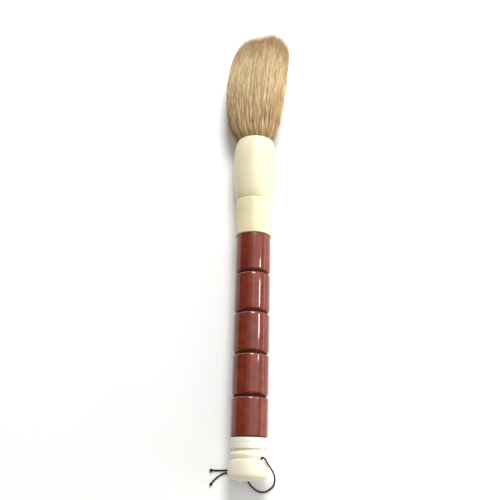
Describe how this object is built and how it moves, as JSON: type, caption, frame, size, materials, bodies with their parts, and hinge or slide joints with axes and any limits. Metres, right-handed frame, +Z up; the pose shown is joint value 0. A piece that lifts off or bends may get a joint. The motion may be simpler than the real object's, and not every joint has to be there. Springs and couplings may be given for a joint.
{
  "type": "calligraphy brush",
  "caption": "Large calligraphy brush lying on a table: soft blunt hair tuft in a turned cream cup, handle of glossy red-brown beads, cream end cap with a thin hanging cord.",
  "frame": {"origin": "middle of the brush on the table surface that it lies on, hanging cord left out of account", "axes": "+Y along the brush towards the hair tip, +Z up from the table, +X to the right seen from above with the tip ahead"},
  "size_m": [0.0494, 0.3367, 0.0325],
  "materials": {
    "red_jasper": "polished",
    "cream_bone": "gloss",
    "pale_bone": "gloss",
    "dark_cement": "matte",
    "dowel_wood": "matte",
    "cover_hair": "matte",
    "core_hair": "matte",
    "rosin": "satin",
    "binding_thread": "matte",
    "black_cord": "matte"
  },
  "bodies": {
    "handle": {"end_cap": "cream_bone", "tail_collar": "pale_bone", "core_rod": "dowel_wood", "bead_1": "red_jasper", "bead_2": "red_jasper", "bead_3": "red_jasper", "bead_4": "red_jasper", "bead_5": "red_jasper", "cement_1": "dark_cement", "cement_2": "dark_cement", "cement_3": "dark_cement", "cement_4": "dark_cement", "cement_5": "dark_cement", "cement_6": "dark_cement", "ferrule_collar": "cream_bone", "ferrule_cup": "cream_bone", "rosin_plug": "rosin", "hair_root": "core_hair", "binding_thread": "binding_thread", "hanging_cord": "black_cord", "cord_tail_upper": "black_cord", "cord_tail_lower": "black_cord", "cord_knot": "black_cord", "cord_end_upper": "black_cord", "cord_end_lower": "black_cord"},
    "tuft": {"core_hair": "core_hair", "cover_hair": "cover_hair"}
  },
  "joints": [
    {"name": "tuft_bend", "type": "hinge", "parent": "handle", "child": "tuft", "pos_m": [-0.00068, 0.07338, 0.01579], "axis": [0, 0, 1], "range_deg": [-25, 25], "stiffness_Nm_per_rad": 0.03}
  ]
}
